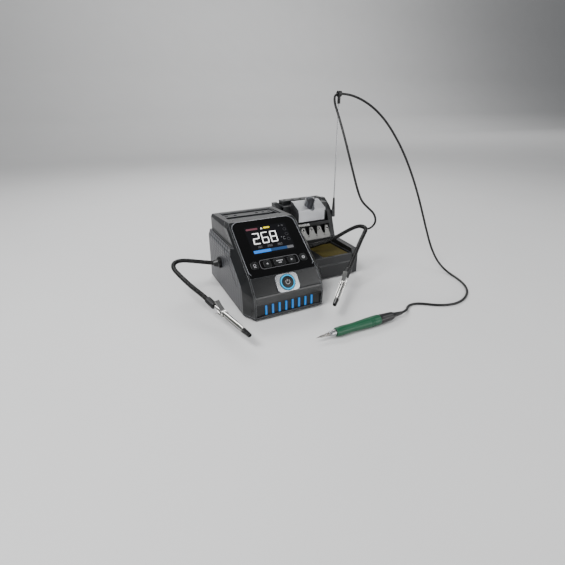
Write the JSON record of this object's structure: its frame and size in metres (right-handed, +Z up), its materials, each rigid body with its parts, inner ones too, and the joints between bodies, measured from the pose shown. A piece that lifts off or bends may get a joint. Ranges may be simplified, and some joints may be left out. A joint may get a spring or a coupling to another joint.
{
  "type": "soldering iron station",
  "caption": "Soldering iron station: sloped control unit with display, docked stand with sponge and cradle, gooseneck clip arms, and an iron on its lead.",
  "frame": {"origin": "centre of the bounding box of all pieces but the iron's lead and plug, at bench height, under the feet", "axes": "+Z up; the display faces -Y; +X runs from the control unit towards the iron stand"},
  "size_m": [0.4225, 0.2692, 0.2742],
  "materials": {
    "graphite_plastic": "fine grain",
    "frame_plastic": "satin",
    "mesh_plastic": "moulded mesh texture",
    "tray_plastic": "fine grain",
    "black_glass": "polished, printed black from behind",
    "display": "lit colour display",
    "key_caps": "gloss",
    "glow_ring": "frosted, lit from behind",
    "button_black": "satin",
    "power_plate": "satin anodised",
    "light_guide": "frosted, lit from behind",
    "circuit_board": "solder mask",
    "heat_sink": "as extruded",
    "inlet_black": "satin",
    "foot_rubber": "soft",
    "screw_steel": "zinc plated",
    "stand_plastic": "fine grain",
    "rack_plastic": "satin",
    "cradle_aluminium": "satin",
    "finger_steel": "brushed",
    "sponge_cellulose": "open cell",
    "rod_steel": "drawn wire",
    "clip_rubber": "soft",
    "ferrule_plastic": "satin",
    "gooseneck_black": "black oxide",
    "clip_steel": "nickel plated",
    "grip_silicone": "matt silicone",
    "iron_black": "gloss",
    "nozzle_steel": "satin",
    "tip_plating": "iron plated",
    "lead_silicone": "matt silicone"
  },
  "bodies": {
    "station": {"base_plate": "graphite_plastic", "face_frame": "frame_plastic", "housing": "graphite_plastic", "side_panel_left": "mesh_plastic", "side_panel_right": "mesh_plastic", "rear_panel": "graphite_plastic", "glass_panel": "black_glass", "lcd_module": "display", "key_board": "circuit_board", "nose_panel": "frame_plastic", "power_plate": "power_plate", "glow_ring": "glow_ring", "slot_panel": "frame_plastic", "light_guide": "light_guide", "tip_tray": "tray_plastic", "main_board": "circuit_board", "power_supply": "heat_sink", "mains_inlet": "inlet_black", "feet": "foot_rubber", "rear_screws": "screw_steel", "stand_base": "stand_plastic", "stand_cheek_right": "stand_plastic", "stand_cheek_left": "stand_plastic", "shelf_strip": "finger_steel", "tip_rack": "rack_plastic", "sponge": "sponge_cellulose", "cradle_block": "cradle_aluminium", "cradle_housing": "cradle_aluminium", "cradle_tube": "cradle_aluminium", "finger_plate": "finger_steel", "rod_socket": "stand_plastic", "lead_rod": "rod_steel", "rod_clip": "clip_rubber", "iron_nozzle": "nozzle_steel", "iron_body": "iron_black", "iron_grip": "grip_silicone", "iron_lead": "lead_silicone", "iron_strain_relief": "lead_silicone", "iron_socket": "inlet_black", "lead_plug": "lead_silicone"},
    "power_button": {"power_button": "button_black"},
    "key_standby": {"key_standby": "key_caps"},
    "key_down": {"key_down": "key_caps"},
    "key_set": {"key_set": "key_caps"},
    "key_up": {"key_up": "key_caps"},
    "key_menu": {"key_menu": "key_caps"},
    "rocker": {"rocker_switch": "inlet_black"},
    "tip_cartridge": {"iron_tip": "tip_plating"},
    "arm_left": {"arm_left_ferrule": "ferrule_plastic", "arm_left_gooseneck": "gooseneck_black", "arm_left_collar": "clip_rubber"},
    "clip_left": {"clip_left_lower_jaw": "clip_steel", "clip_left_pivot": "clip_steel"},
    "jaw_left": {"clip_left_upper_jaw": "clip_steel"},
    "arm_right": {"arm_right_ferrule": "ferrule_plastic", "arm_right_gooseneck": "gooseneck_black", "arm_right_collar": "clip_rubber"},
    "clip_right": {"clip_right_lower_jaw": "clip_steel", "clip_right_pivot": "clip_steel"},
    "jaw_right": {"clip_right_upper_jaw": "clip_steel"}
  },
  "joints": [
    {"name": "power_press", "type": "slide", "parent": "station", "child": "power_button", "axis": [0, 0.7942, -0.6076], "range_m": [0, 0.0015], "stiffness_N_per_m": 900},
    {"name": "standby_press", "type": "slide", "parent": "station", "child": "key_standby", "axis": [0, 0.6004, -0.7997], "range_m": [0, 0.0006], "stiffness_N_per_m": 1500},
    {"name": "down_press", "type": "slide", "parent": "station", "child": "key_down", "axis": [0, 0.6004, -0.7997], "range_m": [0, 0.0006], "stiffness_N_per_m": 1500},
    {"name": "set_press", "type": "slide", "parent": "station", "child": "key_set", "axis": [0, 0.6004, -0.7997], "range_m": [0, 0.0006], "stiffness_N_per_m": 1500},
    {"name": "up_press", "type": "slide", "parent": "station", "child": "key_up", "axis": [0, 0.6004, -0.7997], "range_m": [0, 0.0006], "stiffness_N_per_m": 1500},
    {"name": "menu_press", "type": "slide", "parent": "station", "child": "key_menu", "axis": [0, 0.6004, -0.7997], "range_m": [0, 0.0006], "stiffness_N_per_m": 1500},
    {"name": "mains_rock", "type": "hinge", "parent": "station", "child": "rocker", "pos_m": [-0.04874, 0.11338, 0.051], "axis": [0, 0, 1], "range_deg": [-18, 0]},
    {"name": "tip_pull", "type": "slide", "parent": "station", "child": "tip_cartridge", "axis": [-1, 0, 0], "range_m": [0, 0.025]},
    {"name": "arm_left_raise", "type": "hinge", "parent": "station", "child": "arm_left", "pos_m": [-0.07974, 0.05738, 0.046], "axis": [-1, 0, 0], "range_deg": [0, 25]},
    {"name": "clip_left_turn", "type": "hinge", "parent": "arm_left", "child": "clip_left", "pos_m": [-0.11625, -0.02463, 0.024], "axis": [0.2254, -0.9728, -0.0534], "range_deg": [-90, 90]},
    {"name": "jaw_left_open", "type": "hinge", "parent": "clip_left", "child": "jaw_left", "pos_m": [-0.10971, -0.05284, 0.02245], "axis": [-0.9742, -0.2257, 0], "range_deg": [0, 15], "stiffness_Nm_per_rad": 0.4},
    {"name": "arm_right_raise", "type": "hinge", "parent": "station", "child": "arm_right", "pos_m": [0.03825, 0.05738, 0.046], "axis": [-1, 0, 0], "range_deg": [0, 25]},
    {"name": "clip_right_turn", "type": "hinge", "parent": "arm_right", "child": "clip_right", "pos_m": [0.08375, -0.03112, 0.0275], "axis": [-0.7044, -0.7044, -0.0873], "range_deg": [-90, 90]},
    {"name": "jaw_right_open", "type": "hinge", "parent": "clip_right", "child": "jaw_right", "pos_m": [0.06333, -0.05155, 0.02497], "axis": [-0.7071, 0.7071, 0], "range_deg": [0, 15], "stiffness_Nm_per_rad": 0.4}
  ]
}
